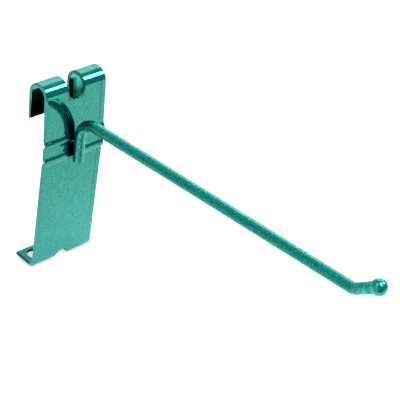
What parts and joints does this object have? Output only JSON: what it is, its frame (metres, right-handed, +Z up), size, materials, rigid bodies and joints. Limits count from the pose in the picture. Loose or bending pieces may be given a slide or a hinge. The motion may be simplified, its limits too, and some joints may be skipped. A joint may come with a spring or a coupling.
{
  "type": "gridwall hook",
  "caption": "Display hook with a folded sheet plate that hangs on a wire grid panel and a welded rod arm with a raised, ball-ended tip.",
  "frame": {"origin": "middle of the hollow of the top fold, where the panel's level wire lies, halfway across the plate", "axes": "+Z up along the upper plate, -Y out along the arm towards the customer, X across the plate along the level wire"},
  "size_m": [0.0318, 0.1849, 0.0887],
  "materials": {
    "plate_coat": "glossy candy coat",
    "rod_coat": "glossy candy coat",
    "ball_coat": "glossy candy coat"
  },
  "bodies": {
    "root": {"back_plate": "plate_coat", "arm_rod": "rod_coat", "end_ball": "ball_coat"}
  },
  "joints": []
}
